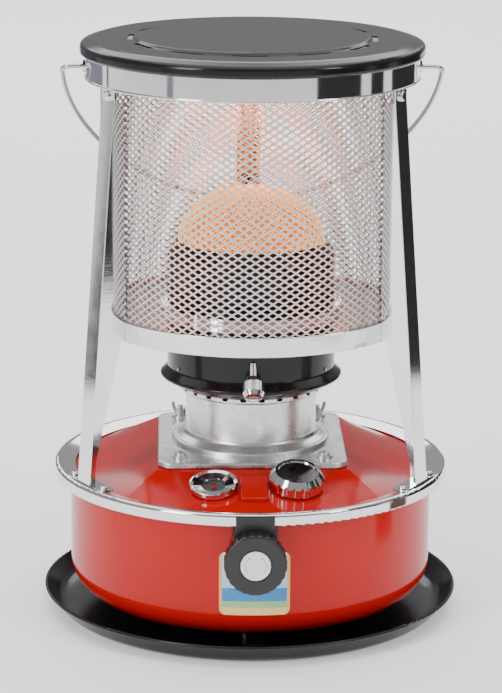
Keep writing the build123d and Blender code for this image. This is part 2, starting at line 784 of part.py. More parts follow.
# ---- filler: neck, strainer, gasket and screw cap on the front facet of the roof ----
neck_top = 8.0
cap_height = 14.0
cap_low = 2.0  # the cap's skirt ends this far above the facet
with BuildPart() as filler_neck:
    with BuildSketch(filler_plane.offset(-6)):
        Circle(neck_radius)
        Circle(neck_radius - 1.5, mode=Mode.SUBTRACT)
    extrude(amount=neck_top + 6)
filler_neck.part.label = "filler_neck"
export_step(filler_neck.part, "parts/filler_neck.step")

with BuildPart() as filler_strainer:
    with BuildSketch(filler_plane.offset(-40)):
        Circle(12.4)
    extrude(amount=40 + neck_top - 2)
    with BuildSketch(filler_plane.offset(-39.2)):
        Circle(11.6)
    extrude(amount=39.2 + neck_top, mode=Mode.SUBTRACT)
    with BuildSketch(filler_plane.offset(neck_top - 3)):
        Circle(neck_radius - 1.5)
        Circle(11.6, mode=Mode.SUBTRACT)
    extrude(amount=1)
filler_strainer.part.label = "filler_strainer"
export_step(filler_strainer.part, "parts/filler_strainer.step")

with BuildPart() as filler_cap:
    with BuildSketch(filler_plane.offset(cap_low)):
        Circle(20.7)
    extrude(amount=9.0 - cap_low)
    with BuildSketch(filler_plane.offset(9.0)):
        Circle(20.7)
    extrude(amount=cap_height - 9, taper=38)
    with BuildSketch(filler_plane.offset(cap_low)):
        with PolarLocations(21.6, 20):
            Circle(1.9)
    extrude(amount=9.6, mode=Mode.SUBTRACT)
    with BuildSketch(filler_plane.offset(cap_height)):
        Circle(14.6)
    extrude(amount=-0.9, mode=Mode.SUBTRACT)
    with BuildSketch(filler_plane.offset(cap_low)):
        Circle(neck_radius + 0.6)
    extrude(amount=neck_top + 2 - cap_low, mode=Mode.SUBTRACT)
filler_cap.part.label = "filler_cap"
export_step(filler_cap.part, "parts/filler_cap.step")

with BuildPart() as filler_gasket:
    with BuildSketch(filler_plane.offset(neck_top + gap)):
        Circle(neck_radius + 0.2)
        Circle(neck_radius - 4, mode=Mode.SUBTRACT)
    extrude(amount=1.9 - gap)
filler_gasket.part.label = "filler_gasket"
export_step(filler_gasket.part, "parts/filler_gasket.step")


# ---- fuel gauge: dished bezel, dial, needle and window above, float on an arm below ----
def gauge_turned(*points):
    """Piece turned about the gauge's own axis, from (radius, height above the facet) points."""
    with BuildPart() as turned:
        upright = Plane(origin=gauge_plane.origin, x_dir=gauge_plane.x_dir, z_dir=-gauge_plane.y_dir)
        with BuildSketch(upright):
            with BuildLine():
                Polyline(*points, close=True)
            make_face()
        revolve(axis=Axis(gauge_plane.origin, gauge_plane.z_dir))
    return turned.part


with BuildPart() as gauge_bezel:
    outline = [(9.4, 1.0), (17.6, 1.0), (18.4, 2.8), (18.4, 5.2), (17.2, 5.6), (15.5, 4.6), (9.4, 3.2)]
    add(gauge_turned(*outline))
gauge_bezel.part.label = "gauge_bezel"
export_step(gauge_bezel.part, "parts/gauge_bezel.step")

with BuildPart() as gauge_dial:
    outline = [(1.2, -0.6), (11.4, -0.6), (11.4, 1.0), (10.4, 1.0), (10.4, 0.2), (1.2, 0.2)]
    add(gauge_turned(*outline))
gauge_dial.part.label = "gauge_dial"
export_step(gauge_dial.part, "parts/gauge_dial.step")

with BuildPart() as gauge_window:
    add(gauge_turned((0, 2.2), (9.3, 2.2), (9.3, 2.9), (0, 2.9)))
gauge_window.part.label = "gauge_window"
export_step(gauge_window.part, "parts/gauge_window.step")

with BuildPart() as gauge_needle:
    with BuildSketch(gauge_plane.offset(0.9)):
        Circle(1.8)
        Polygon((-1.1, -3), (1.1, -3), (0.4, 7.6), (-0.4, 7.6), align=None)
    extrude(amount=0.6)
    with BuildSketch(gauge_plane.offset(-1.6)):
        Circle(0.8)
    extrude(amount=2.6)
gauge_needle.part.label = "gauge_needle"
export_step(gauge_needle.part, "parts/gauge_needle.step")

float_pivot = Vector(gauge_x, gauge_y, float_pivot_height)
arm_angle = degrees(atan2(gauge_y, gauge_x)) - 90
arm_plane = Plane(origin=float_pivot, x_dir=polar(1, arm_angle), z_dir=polar(1, arm_angle - 90))
with BuildPart() as gauge_stem:
    with BuildSketch(Plane.XY.offset(float_pivot_height + 5)):
        with Locations((gauge_x, gauge_y)):
            Circle(4.5)
            Circle(3.3, mode=Mode.SUBTRACT)
    extrude(amount=36)
    with BuildSketch(gauge_plane.offset(-8.4)):
        Circle(gauge_hole)
        Circle(3.2, mode=Mode.SUBTRACT)
    extrude(amount=7.4)
    for side in (-1, 1):
        with BuildSketch(arm_plane.offset(side * 2.4)):
            with Locations((0, 3)):
                Rectangle(7, 14)
            Circle(1.3, mode=Mode.SUBTRACT)
        extrude(amount=side * 1.2)
gauge_stem.part.label = "gauge_stem"
export_step(gauge_stem.part, "parts/gauge_stem.step")

with BuildPart() as float_arm:
    with BuildSketch(arm_plane.offset(-4.2)):
        Circle(1.24)
    extrude(amount=8.4)
    with BuildSketch(arm_plane.offset(-1)):
        Circle(3)
        with Locations((float_arm_length / 2, 0)):
            Rectangle(float_arm_length, 2)
    extrude(amount=2)
float_arm.part.label = "float_arm"
export_step(float_arm.part, "parts/float_arm.step")

with BuildPart() as float_ball:
    with Locations(float_pivot + polar(float_arm_length + 10.5, arm_angle)):
        Cylinder(10.5, 13)
    fillet(float_ball.edges().filter_by(GeomType.CIRCLE), 3)
float_ball.part.label = "float_ball"
export_step(float_ball.part, "parts/float_ball.step")


# ---- burner: flared skirt, drum, two flame tubes, spreader and the glowing dome ----
with BuildPart() as burner_skirt:
    wall = drum_radius - 1.2
    outline = [
        (wall - 0.6, 199.0),
        (wall - 0.6, 193.0),
        (lip_radius - 0.6, lip_height + 0.4),
        (lip_radius - 0.6, lip_height - 0.8),
        (rim_radius + 1.4, 178.6),
    ]
    revolve(pressed(outline, [3.0, 0.7, 0.7], 1.2), axis=Axis.Z)
    for slot in range(24):
        angle = 15 * slot + 3
        facing = Plane(origin=polar(50, angle, 182.6), x_dir=polar(1, angle + 90), z_dir=polar(1, angle))
        with BuildSketch(facing):
            SlotOverall(6.5, 1.7)
        extrude(amount=25, mode=Mode.SUBTRACT)
burner_skirt.part.label = "burner_skirt"
export_step(burner_skirt.part, "parts/burner_skirt.step")

burner_knob_tilt = radians(48)
burner_knob_plane = Plane(
    origin=(0, -drum_radius - 4, 202),
    x_dir=(1, 0, 0),
    z_dir=(0, -cos(burner_knob_tilt), -sin(burner_knob_tilt)),
)
with BuildPart() as burner_drum:
    wall = drum_radius - 0.5
    rim = dome_radius + 1.2
    outline = [(wall, 194.0), (wall, drum_shoulder), (rim, drum_top), (rim, drum_top + 1.5)]
    revolve(pressed(outline, [9.0, 1.0]), axis=Axis.Z)
    with BuildSketch(burner_knob_plane.offset(-10)):
        Circle(3.1)
    extrude(amount=20, mode=Mode.SUBTRACT)
burner_drum.part.label = "burner_drum"
export_step(burner_drum.part, "parts/burner_drum.step")

with BuildPart() as burner_knob:
    upright = Plane(origin=burner_knob_plane.origin, x_dir=(1, 0, 0), z_dir=-burner_knob_plane.y_dir)
    outline = [(0, -8), (3, -8), (3, 3), (5.4, 3.6), (8.2, 8.5)]
    outline += [(8.2, 16.5), (6.6, 20), (4.4, 20.6), (3.6, 19.8), (0, 19.8)]
    with BuildSketch(upright):
        with BuildLine():
            Polyline(*outline, close=True)
        make_face()
    revolve(axis=Axis(burner_knob_plane.origin, burner_knob_plane.z_dir))
burner_knob.part.label = "burner_knob"
export_step(burner_knob.part, "parts/burner_knob.step")


def perforated(outer, rows, holes, hole_radius):
    """Flame tube with staggered rows of round holes."""
    with BuildPart() as shell:
        revolve(tube(outer, outer - 0.8, flame_tube_low, flame_tube_high), axis=Axis.Z)
        span = flame_tube_high - flame_tube_low
        for row in range(rows):
            height = flame_tube_low + span * (row + 1) / (rows + 1)
            turn = 180 / holes * (row % 2)
            with Locations((0, 0, height)):
                with PolarLocations(outer, holes, start_angle=turn):
                    Cylinder(hole_radius, 12, rotation=(0, 90, 0), mode=Mode.SUBTRACT)
    return shell.part


with BuildPart() as inner_flame_tube:
    add(perforated(draft_radius, 5, 16, 2.5))
inner_flame_tube.part.label = "inner_flame_tube"
export_step(inner_flame_tube.part, "parts/inner_flame_tube.step")

with BuildPart() as outer_flame_tube:
    add(perforated(52.0, 6, 20, 2.5))
outer_flame_tube.part.label = "outer_flame_tube"
export_step(outer_flame_tube.part, "parts/outer_flame_tube.step")

with BuildPart() as flame_spreader:
    revolve(pressed([(0, 294), (34, 294), (42.4, 284)], 12.0, 1.2), axis=Axis.Z)
flame_spreader.part.label = "flame_spreader"
export_step(flame_spreader.part, "parts/flame_spreader.step")

with BuildPart() as burner_cross_pins:
    for angle in (90, 210, 330):
        out = polar(1, angle)
        with BuildSketch(Plane(origin=polar(37, angle, 196.6), z_dir=out)):
            Circle(1.5)
        extrude(amount=drum_radius + 0.8 - 37)
burner_cross_pins.part.label = "burner_cross_pins"
export_step(burner_cross_pins.part, "parts/burner_cross_pins.step")

with BuildPart() as glow_dome:
    quadrant = [(cos(radians(t)), sin(radians(t))) for t in (0, 30, 60, 90)]
    outer = [(dome_radius * x, drum_top + dome_height * z) for x, z in quadrant]
    inner = [((dome_radius - 1.2) * x, drum_top + (dome_height - 1.2) * z) for x, z in quadrant]
    with BuildSketch(Plane.XZ):
        with BuildLine():
            Spline(*outer, tangents=[(0, 1), (-1, 0)])
            Spline(*inner, tangents=[(0, 1), (-1, 0)])
            Line(outer[0], inner[0])
            Line(outer[-1], inner[-1])
        make_face()
    revolve(axis=Axis.Z)
glow_dome.part.label = "glow_dome"
export_step(glow_dome.part, "parts/glow_dome.step")
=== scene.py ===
from math import pi, radians

import bpy
import numpy as np
from mathutils import Matrix, Vector


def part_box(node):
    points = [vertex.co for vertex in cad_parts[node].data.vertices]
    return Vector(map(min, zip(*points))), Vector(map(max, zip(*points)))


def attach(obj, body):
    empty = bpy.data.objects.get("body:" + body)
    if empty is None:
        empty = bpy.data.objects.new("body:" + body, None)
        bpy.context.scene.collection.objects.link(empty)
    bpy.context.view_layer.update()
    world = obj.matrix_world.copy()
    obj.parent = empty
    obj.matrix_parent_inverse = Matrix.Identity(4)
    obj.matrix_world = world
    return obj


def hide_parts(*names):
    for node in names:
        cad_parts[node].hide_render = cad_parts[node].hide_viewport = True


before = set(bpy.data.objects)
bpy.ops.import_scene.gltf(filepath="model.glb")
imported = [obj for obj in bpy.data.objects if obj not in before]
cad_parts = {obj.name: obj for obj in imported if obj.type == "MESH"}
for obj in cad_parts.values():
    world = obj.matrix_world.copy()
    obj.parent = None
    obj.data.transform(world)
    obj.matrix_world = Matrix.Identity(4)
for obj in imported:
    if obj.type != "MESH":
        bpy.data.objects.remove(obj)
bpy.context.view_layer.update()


# ---- Camera, floor and lights ----
# The heater stands on a plain pale floor, seen from a little above through a long lens.
# Two tall softboxes and a broad one overhead light it, and dark cards beside the camera's
# view give the chrome something to show between the white walls.
view_distance = 2.2
view_height = 0.763
view_azimuth = radians(-1.5)
view_pitch = radians(14.2)
view_roll = radians(0.33)

camera_data = bpy.data.cameras.new("camera")
camera_data.sensor_fit = "HORIZONTAL"
camera_data.sensor_width = 36.0
camera_data.lens = 208.6
camera = bpy.data.objects.new("camera", camera_data)
camera.matrix_world = (
    Matrix.Rotation(view_azimuth, 4, "Z")
    @ Matrix.Translation((0, -view_distance, view_height))
    @ Matrix.Rotation(radians(90) - view_pitch, 4, "X")
    @ Matrix.Rotation(view_roll, 4, "Z")
)
bpy.context.collection.objects.link(camera)
bpy.context.scene.camera = camera


def aimed(obj, place, aim):
    """Put obj at a place and turn its -Z axis towards another point."""
    obj.location = place
    obj.rotation_euler = (Vector(aim) - Vector(place)).to_track_quat("-Z", "Y").to_euler()
    bpy.context.collection.objects.link(obj)


def softbox(name, place, aim, width, height, power):
    """Rectangular soft light."""
    lamp = bpy.data.lights.new(name, "AREA")
    lamp.shape = "RECTANGLE"
    lamp.size = width
    lamp.size_y = height
    lamp.energy = power
    aimed(bpy.data.objects.new(name, lamp), place, aim)


class Link:
    """A shader node's output, on which Python's operators add Math nodes."""

    def __init__(self, finish, socket):
        self.finish = finish
        self.socket = socket

    def math(self, operation, *values):
        """Math node with this operation on these values, in this order."""
        return self.finish.node("ShaderNodeMath", {"operation": operation}, dict(enumerate(values)))

    def __add__(self, other):
        return self.math("ADD", self, other)

    def __radd__(self, other):
        return self.math("ADD", other, self)

    def __sub__(self, other):
        return self.math("SUBTRACT", self, other)

    def __rsub__(self, other):
        return self.math("SUBTRACT", other, self)

    def __mul__(self, other):
        return self.math("MULTIPLY", self, other)

    def __rmul__(self, other):
        return self.math("MULTIPLY", other, self)

    def __truediv__(self, other):
        return self.math("DIVIDE", self, other)

    def __pow__(self, other):
        return self.math("POWER", self, other)

    def __abs__(self):
        return self.math("ABSOLUTE", self)

    def __lt__(self, other):
        return self.math("LESS_THAN", self, other)

    def __gt__(self, other):
        return self.math("GREATER_THAN", self, other)


class Finish:
    """A material on one Principled shader, whose other nodes all come from node()."""

    def __init__(self, name, **constants):
        self.material = bpy.data.materials.new(name)
        self.material.use_nodes = True
        self.tree = self.material.node_tree
        self.shader = self.tree.nodes["Principled BSDF"]
        for socket, value in constants.items():
            self.shader.inputs[socket.replace("_", " ")].default_value = value

    def node(self, kind, settings, inputs, output=0):
        """New node: its settings first, then the values or links of its sockets."""
        made = self.tree.nodes.new(kind)
        for key, value in settings.items():
            setattr(made, key, value)
        for key, value in inputs.items():
            if isinstance(value, Link):
                self.tree.links.new(value.socket, made.inputs[key])
            else:
                made.inputs[key].default_value = value
        return Link(self, made.outputs[output])

    def place(self):
        """Point on the object, in metres."""
        return self.node("ShaderNodeTexCoord", {}, {}, "Object")

    def axis(self, name):
        """One coordinate of the point on the object."""
        return self.node("ShaderNodeSeparateXYZ", {}, {0: self.place()}, name)

    def noise(self, scale, stretch=(1, 1, 1), detail=2.0):
        """Smooth noise from 0 to 1, scale lumps to the metre, squeezed by stretch along each axis."""
        where = self.node("ShaderNodeMapping", {}, {"Vector": self.place(), "Scale": stretch})
        return self.node("ShaderNodeTexNoise", {}, {"Vector": where, "Scale": scale, "Detail": detail})

    def mix(self, share, first, second):
        """Colour from first to second."""
        colours = {0: share, 6: opaque(first), 7: opaque(second)}
        return self.node("ShaderNodeMix", {"data_type": "RGBA"}, colours, 2)

    def bump(self, height, depth):
        """Dents and swellings of that depth in metres, on the shader's normal."""
        rough = {"Height": height, "Distance": depth, "Strength": 1.0}
        self.set("Normal", self.node("ShaderNodeBump", {}, rough))

    def set(self, socket, link):
        """Feed one of the shader's sockets."""
        self.tree.links.new(link.socket, self.shader.inputs[socket])


def opaque(colour):
    """Colour with its alpha, or the link that gives it."""
    return colour if isinstance(colour, Link) else (*colour, 1.0)


def sheet(name, place, aim, width, height, finish):
    """Flat stage rectangle that faces a point."""
    mesh = bpy.data.meshes.new(name)
    corners = [(x * width / 2, y * height / 2, 0) for x, y in ((-1, -1), (1, -1), (1, 1), (-1, 1))]
    mesh.from_pydata(corners, [], [(0, 1, 2, 3)])
    mesh.materials.append(finish.material)
    obj = bpy.data.objects.new(name, mesh)
    aimed(obj, place, aim)
    return obj


pale = Finish("floor_paint", Roughness=0.9, Specular_IOR_Level=0.1)
pale.shader.inputs["Emission Color"].default_value = (1, 1, 1, 1)
pale.shader.inputs["Emission Strength"].default_value = 0.35
pale.set("Base Color", pale.mix(pale.noise(3.0), (0.93, 0.93, 0.93), (0.95, 0.95, 0.95)))
sheet("floor", (0, 4, -0.0004), (0, 4, 1), 16, 20, pale)

black = Finish("black_card", Base_Color=(0.01, 0.01, 0.01, 1), Roughness=1.0)
grey = Finish("grey_card", Base_Color=(0.16, 0.17, 0.20, 1), Roughness=1.0)
brown = Finish("brown_card", Base_Color=(0.10, 0.06, 0.04, 1), Roughness=1.0)
for name, bearing, distance, width, height, finish in (
    ("card_front_right", 57, 1.10, 0.66, 0.62, black),
    ("card_right", 88, 1.10, 0.24, 0.62, black),
    ("card_back_right", 122, 1.10, 0.75, 0.62, black),
    ("card_low_right", 76, 0.36, 0.08, 0.16, brown),
    ("card_front_left", -56, 1.20, 0.10, 0.62, grey),
    ("card_left", -113, 1.10, 0.05, 0.62, black),
    ("card_back_left", -140, 1.10, 0.80, 0.62, grey),
):
    turn = radians(bearing)
    place = (distance * np.sin(turn), -distance * np.cos(turn), height / 2)
    card = sheet(name, place, (0, 0, height / 2), width, height, finish)
    card.visible_camera = False
    card.visible_shadow = False
    card.visible_diffuse = False

world = bpy.data.worlds.new("studio")
world.use_nodes = True
world.node_tree.nodes["Background"].inputs["Color"].default_value = (1, 1, 1, 1)
world.node_tree.nodes["Background"].inputs["Strength"].default_value = 0.36
bpy.context.scene.world = world
softbox("overhead", (0, 0.2, 2.4), (0, 0.2, 0), 3.2, 3.2, 72)
softbox("sweep", (0, 3.4, 2.2), (0, 3.4, 0), 5.0, 3.0, 130)
softbox("key_left", (-1.5, -1.5, 1.1), (0, 0, 0.2), 0.6, 1.2, 26)
softbox("fill_right", (1.7, -1.3, 1.1), (0, 0, 0.2), 0.4, 1.2, 16)


# ---- Drip tray ----
# A shallow dish pressed from sheet steel, with a rolled rim and three seats for the tank's
# feet, coated in stove-baked black enamel. The tank is screwed to it from below.
def coat(finish, *nodes):
    """Give these CAD nodes this finish."""
    for node in nodes:
        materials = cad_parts[node].data.materials
        materials.clear()
        materials.append(finish.material)


def enamel(name, shade, deep, gloss, peel):
    """Baked enamel: two near shades that drift, a clear skin, and orange peel of a set depth."""
    finish = Finish(name, Specular_IOR_Level=0.3)
    drift = finish.noise(22.0)
    finish.set("Base Color", finish.mix(drift, shade, deep))
    finish.set("Roughness", gloss + 0.10 * finish.noise(60.0))
    finish.bump(finish.noise(420.0, detail=1.0), peel)
    return finish


black_enamel = enamel("black_enamel", (0.006, 0.006, 0.007), (0.012, 0.012, 0.013), 0.12, 0.00002)
coat(black_enamel, "drip_tray")

plated = Finish("zinc_plate", Metallic=1.0)
plated.set("Base Color", plated.mix(plated.noise(300.0), (0.50, 0.50, 0.48), (0.68, 0.68, 0.66)))
plated.set("Roughness", 0.25 + 0.2 * plated.noise(150.0))
coat(plated, "tank_feet", "tray_screws")


# ---- Fuel tank ----
# A deep drawn pan and a creased roof, seamed together under the base ring, in gloss red
# enamel. A tube for the wick and the draught stands through the middle of it.
red_enamel = enamel("red_enamel", (0.55, 0.005, 0.003), (0.47, 0.003, 0.002), 0.10, 0.00003)
coat(red_enamel, "tank_lower_shell", "tank_top_shell")
coat(plated, "draft_tube", "wick_chamber_tube")


# ---- Base ring, legs and collar ----
# Rolled and pressed strips of chrome-plated steel: a ring round the tank's shoulder, three
# slanting channel legs, and the collar that they are screwed to at the top.
def bright(name, shade, dull, gloss, rough, lines):
    """Polished plate: faint cloudiness, and fine polishing lines that run round the object."""
    finish = Finish(name, Metallic=1.0)
    finish.set("Base Color", finish.mix(finish.noise(35.0), shade, dull))
    finish.set("Roughness", gloss + rough * finish.noise(70.0))
    finish.bump(finish.noise(40.0, (1, 1, 45), 3.0), lines)
    return finish


chrome = bright("chrome", (0.86, 0.86, 0.87), (0.74, 0.74, 0.76), 0.03, 0.08, 0.000012)
coat(chrome, "base_ring", "leg_left", "leg_right", "leg_rear", "top_collar", "guard_top_ring")
coat(chrome, "base_ring_screws", "leg_top_screws", "bail_eyelets")


# ---- Guard ----
# Three curved panels of expanded steel between the legs, held by the collar's inner ring
# above and by a chrome band below, round a bright pan that throws the heat outwards.
guard_radius = 0.1159
guard_columns = 28
guard_rows = 67
hole_side = 0.76  # the hole's size against its tile's, halfway along a strand
hole_corner = 0.69  # and at the tile's corners, where the strands join
strand_tilt = 0.00022  # how far a strand's upper edge leans out
guard_sheet = 0.0007


def expanded_panel(name, start, sweep, low, high):
    """Expanded metal on a cylinder.

    The rim of a tile is the diamond |u| + |v| = 1 and its hole is the same diamond, shrunk more
    at the corners than at the sides. Tiles stand in staggered rows, u runs round the cylinder,
    v runs up it, and the upper edge of each hole leans in and the lower edge out.
    """
    steps = np.arange(12) / 3.0
    quarter, part = np.divmod(steps, 1.0)
    turn = quarter * pi / 2
    rim = np.stack([
        (1 - part) * np.cos(turn) - part * np.sin(turn),
        (1 - part) * np.sin(turn) + part * np.cos(turn),
    ], axis=1)
    shrink = np.where(part > 0.01, hole_side, hole_corner)[:, None]
    tile = np.concatenate([rim, rim * shrink])
    lean = np.concatenate([np.zeros(12), -strand_tilt * rim[:, 1]])

    half_angle = sweep / guard_columns / 2
    half_height = (high - low) / (guard_rows + 1)
    row, column = np.meshgrid(np.arange(guard_rows), np.arange(guard_columns), indexing="ij")
    kept = (row % 2 == 0) | (column < guard_columns - 1)
    row, column = row[kept], column[kept]
    centre_angle = start + half_angle * (2 * column + 1 + row % 2)
    centre_height = low + half_height * (row + 1)

    angle = (centre_angle[:, None] + half_angle * tile[:, 0]).ravel()
    height = (centre_height[:, None] + half_height * tile[:, 1]).ravel()
    radius = guard_radius + np.tile(lean, len(row))
    grid = np.stack([radius * np.cos(angle), radius * np.sin(angle), height], axis=1)

    here = np.arange(12)
    after = (here + 1) % 12
    quads = np.stack([here, after, after + 12, here + 12], axis=1)
    faces = (quads[None] + 24 * np.arange(len(row))[:, None, None]).reshape(-1, 4)
    _, first, joined = np.unique(np.round(grid, 6), axis=0, return_index=True, return_inverse=True)
    mesh = bpy.data.meshes.new(name)
    mesh.from_pydata(grid[first].tolist(), [], joined.reshape(-1)[faces].tolist())
    panel = bpy.data.objects.new(name, mesh)
    bpy.context.collection.objects.link(panel)
    wall = panel.modifiers.new("wall", "SOLIDIFY")
    wall.thickness = guard_sheet
    wall.offset = -1
    return panel


guard_steel = Finish("guard_steel", Metallic=1.0)
mottle = guard_steel.noise(120.0)
guard_steel.set("Base Color", guard_steel.mix(mottle, (0.70, 0.68, 0.69), (0.52, 0.50, 0.51)))
guard_steel.set("Roughness", 0.22 + 0.18 * guard_steel.noise(90.0))
guard_steel.bump(guard_steel.noise(900.0), 0.00002)

for side, start in (("front", 210), ("right", 330), ("left", 90)):
    node = f"guard_mesh_{side}"
    low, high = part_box(node)
    panel = expanded_panel(f"guard_net_{side}", radians(start + 0.2), radians(119.6), low[2], high[2])
    panel.data.materials.append(guard_steel.material)
    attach(panel, "stove")
    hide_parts(node)

coat(chrome, "guard_bottom_ring", "guard_pan")


# ---- Lid and bail ----
# The lid is a pressed disc in black enamel with a ring of slots round its flat middle, and
# lies loose on the collar. The bail is one bent steel wire that swings in the collar's eyelets.
coat(black_enamel, "lid")
wire_steel = bright("bright_wire", (0.62, 0.62, 0.62), (0.45, 0.45, 0.46), 0.16, 0.14, 0.00001)
coat(wire_steel, "bail_handle")


# ---- Base plate and wick gallery ----
# A cast plate bolted over the tank's mouth on a gasket, and the spun gallery that carries the
# burner, both bare alloy with a soft silvery skin.
cast_alloy = Finish("cast_alloy", Metallic=1.0)
cells = {"Vector": cast_alloy.place(), "Scale": 260.0}
spangle = cast_alloy.node("ShaderNodeTexVoronoi", {}, cells, "Color")
grain = cast_alloy.node("ShaderNodeSeparateColor", {}, {0: spangle}, 0)
cloud = 0.6 * cast_alloy.noise(45.0) + 0.4 * grain
cast_alloy.set("Base Color", cast_alloy.mix(cloud, (0.60, 0.60, 0.60), (0.84, 0.84, 0.83)))
cast_alloy.set("Roughness", 0.20 + 0.20 * cast_alloy.noise(80.0))
cast_alloy.bump(cast_alloy.noise(500.0), 0.00003)
coat(cast_alloy, "wick_gallery", "base_plate")
coat(plated, "base_plate_screws", "base_plate_studs", "wing_nuts")

gasket_rubber = Finish("gasket_rubber")
bloom = gasket_rubber.noise(200.0)
gasket_rubber.set("Base Color", gasket_rubber.mix(bloom, (0.03, 0.03, 0.03), (0.06, 0.06, 0.06)))
gasket_rubber.set("Roughness", 0.7 + 0.2 * gasket_rubber.noise(90.0))
coat(gasket_rubber, "base_gasket", "filler_gasket")


# ---- Wick and its drive ----
# A woven glass-fibre tube on a sheet carrier, lifted by a brass pinion on the shaft that runs
# through the tank in a sealed tube.
wick_cloth = Finish("wick_cloth", Sheen_Weight=0.3)
ribs = {"Vector": wick_cloth.place(), "Scale": 180.0}
rib = wick_cloth.node("ShaderNodeTexWave", {"bands_direction": "Z"}, ribs, "Fac")
thread = 0.7 * rib + 0.3 * wick_cloth.noise(300.0)
wick_cloth.set("Base Color", wick_cloth.mix(thread, (0.45, 0.42, 0.36), (0.80, 0.77, 0.70)))
wick_cloth.set("Roughness", 0.85 + 0.1 * rib)
wick_cloth.bump(rib, 0.0002)
coat(wick_cloth, "wick")
coat(plated, "wick_carrier", "wick_shaft", "shaft_tube", "housing_nut")

brass = Finish("brass", Metallic=1.0)
brass.set("Base Color", brass.mix(brass.noise(90.0), (0.78, 0.56, 0.24), (0.60, 0.42, 0.17)))
brass.set("Roughness", 0.22 + 0.2 * brass.noise(140.0))
coat(brass, "wick_pinion", "shaft_bushes", "filler_strainer")


# ---- Wick adjuster ----
# A moulded knob with a fluted edge and a white centre, in front of a moulded housing on the
# tank's wall, over a printed metal label with plain bands of colour.
black_plastic = Finish("black_plastic")
sheen = black_plastic.noise(60.0)
black_plastic.set("Base Color", black_plastic.mix(sheen, (0.010, 0.010, 0.010), (0.022, 0.022, 0.022)))
black_plastic.set("Roughness", 0.28 + 0.15 * black_plastic.noise(200.0))
black_plastic.bump(black_plastic.noise(1500.0), 0.00002)
coat(black_plastic, "adjuster_housing", "wick_knob")

cap_low, cap_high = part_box("knob_cap")
knob_height = (cap_low[2] + cap_high[2]) / 2
arrow_radius = 0.0078
arrow_half = 0.0005  # half the width of its line
head_half = 0.0016  # half the width of its head
head_start = 1.2  # slopes, height over distance across, where the head starts and ends
head_end = 1.9
white_plastic = Finish("white_plastic", Coat_Weight=0.3)
across = white_plastic.axis("X")
above = white_plastic.axis("Z") - knob_height
ring = abs((across * across + above * above) ** 0.5 - arrow_radius)
rise = above / (abs(across) + 0.0001)
shaft = (ring < arrow_half) * (abs(rise) < head_start)
head = (ring < head_half - 0.0022 * (rise - head_start)) * (rise > head_start) * (rise < head_end)
mark = 0.55 * (shaft + head)
white = white_plastic.mix(white_plastic.noise(150.0), (0.78, 0.78, 0.75), (0.86, 0.86, 0.84))
white_plastic.set("Base Color", white_plastic.mix(mark, white, (0.30, 0.30, 0.32)))
white_plastic.set("Roughness", 0.3 + 0.1 * white_plastic.noise(200.0))
coat(white_plastic, "knob_cap")

label_low, label_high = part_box("label_plate")
label_print = Finish("label_print", Specular_IOR_Level=0.2)
label_half = (label_high[0] - label_low[0]) / 2
label_border = 0.0022
up = (label_print.axis("Z") - label_low[2]) / (label_high[2] - label_low[2])
side = abs(label_print.axis("X"))
sky = label_print.mix(up, (0.12, 0.48, 0.80), (0.88, 0.90, 0.92))
band = label_print.mix(up > 0.12, (0.90, 0.66, 0.24), (0.32, 0.58, 0.24))
band = label_print.mix(up > 0.22, band, (0.02, 0.24, 0.60))
band = label_print.mix(up > 0.43, band, sky)
band = label_print.mix(side > label_half - label_border, band, (0.90, 0.50, 0.14))
label_print.set("Base Color", label_print.mix(0.12 * label_print.noise(400.0), band, (0.9, 0.9, 0.9)))
label_print.set("Roughness", 0.25 + 0.1 * label_print.noise(200.0))
coat(label_print, "label_plate")


# ---- Filler and fuel gauge ----
# The filler's fluted cap and the gauge's dished bezel are chrome-plated pressings on the
# roof's front facet. Under them are a soldered neck with a gauze strainer, and a cork float.
coat(chrome, "filler_cap", "gauge_bezel")
coat(plated, "filler_neck", "gauge_stem", "float_arm")

dial_paint = Finish("dial_paint")
speck = dial_paint.noise(400.0)
dial_paint.set("Base Color", dial_paint.mix(speck, (0.16, 0.16, 0.16), (0.22, 0.22, 0.22)))
dial_paint.set("Roughness", 0.35 + 0.1 * dial_paint.noise(300.0))
coat(dial_paint, "gauge_dial")
needle_paint = Finish("needle_paint")
speck = needle_paint.noise(600.0)
needle_paint.set("Base Color", needle_paint.mix(speck, (0.70, 0.05, 0.02), (0.60, 0.03, 0.02)))
needle_paint.set("Roughness", 0.3 + 0.1 * needle_paint.noise(600.0))
coat(needle_paint, "gauge_needle")
window = Finish("gauge_glass", Base_Color=(0.95, 0.97, 0.97, 1), Transmission_Weight=1.0, IOR=1.45)
window.set("Roughness", 0.02 + 0.04 * window.noise(300.0))
coat(window, "gauge_window")
cork = Finish("cork")
cork.set("Base Color", cork.mix(cork.noise(500.0), (0.62, 0.42, 0.24), (0.34, 0.20, 0.10)))
cork.set("Roughness", 0.8 + 0.15 * cork.noise(300.0))
coat(cork, "float_ball")


# ---- Burner ----
# Black enamelled drum and skirt over two perforated flame tubes of heat-blued steel. The drum
# is lifted by a turned chrome knob to light the wick.
coat(black_enamel, "burner_drum", "burner_skirt")
coat(chrome, "burner_knob")
hot_steel = Finish("hot_steel", Metallic=1.0)
heat = (hot_steel.axis("Z") - 0.18) / 0.11 + 0.2 * hot_steel.noise(40.0)
tint = hot_steel.mix(heat, (0.50, 0.44, 0.38), (0.20, 0.17, 0.24))
hot_steel.set("Base Color", tint)
hot_steel.set("Roughness", 0.35 + 0.2 * hot_steel.noise(100.0))
coat(hot_steel, "inner_flame_tube", "outer_flame_tube", "flame_spreader", "burner_cross_pins")


